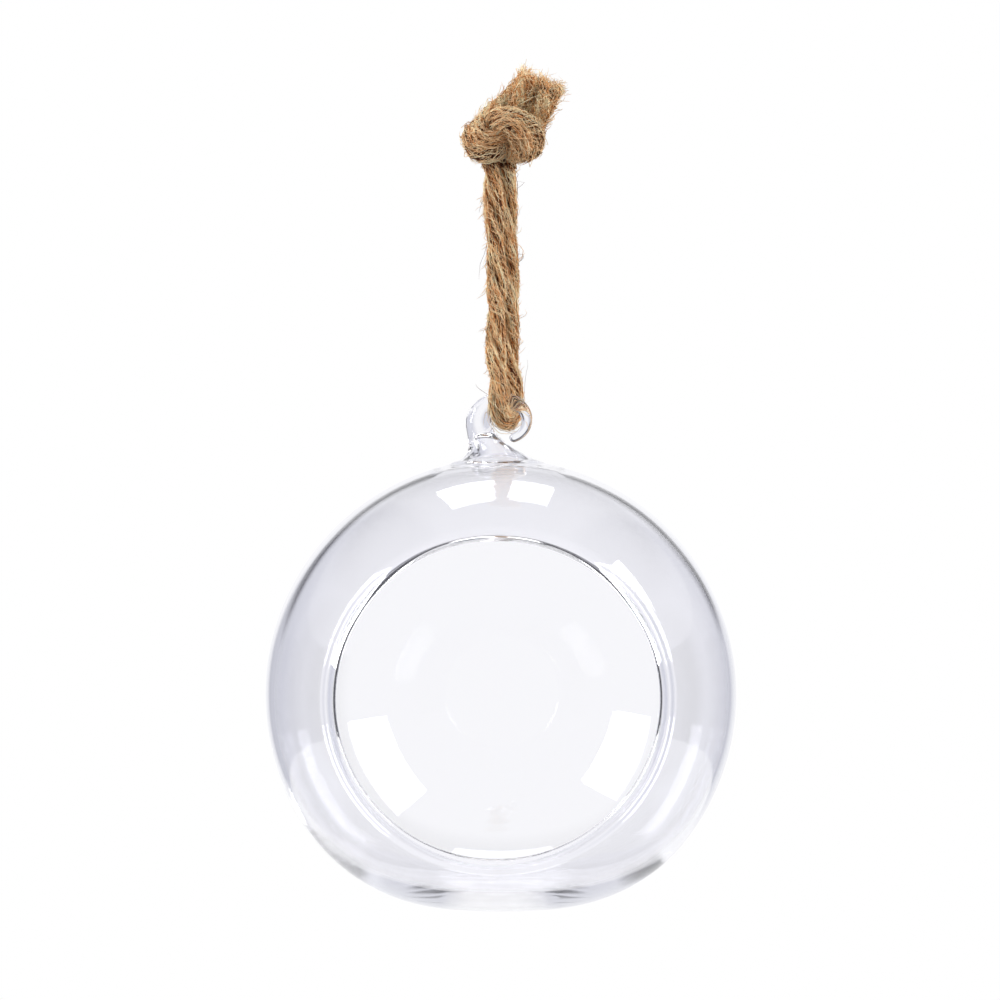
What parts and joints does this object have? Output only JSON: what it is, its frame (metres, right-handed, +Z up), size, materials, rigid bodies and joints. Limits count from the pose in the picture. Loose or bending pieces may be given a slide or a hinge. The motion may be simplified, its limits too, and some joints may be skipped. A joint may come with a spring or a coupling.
{
  "type": "hanging glass vase",
  "caption": "Clear blown glass globe with a round side mouth, a small flat base and a curled glass hook, hung from a knotted loop of jute rope.",
  "frame": {"origin": "the hanging point, inside the top of the rope loop just under the knot", "axes": "+Z up along the rope from the vase to the knot, -Y out of the vase's mouth, +X to the right as one looks into the mouth"},
  "size_m": [0.1, 0.0866, 0.1789],
  "materials": {
    "glass": "clear blown glass, fire polished, with faint flow lines and a cool tint in its edges",
    "jute": "natural golden brown jute, loosely twisted, hairy"
  },
  "bodies": {
    "root": {"glass_vase": "glass", "rope_loop": "jute", "rope_knot": "jute"}
  },
  "joints": []
}
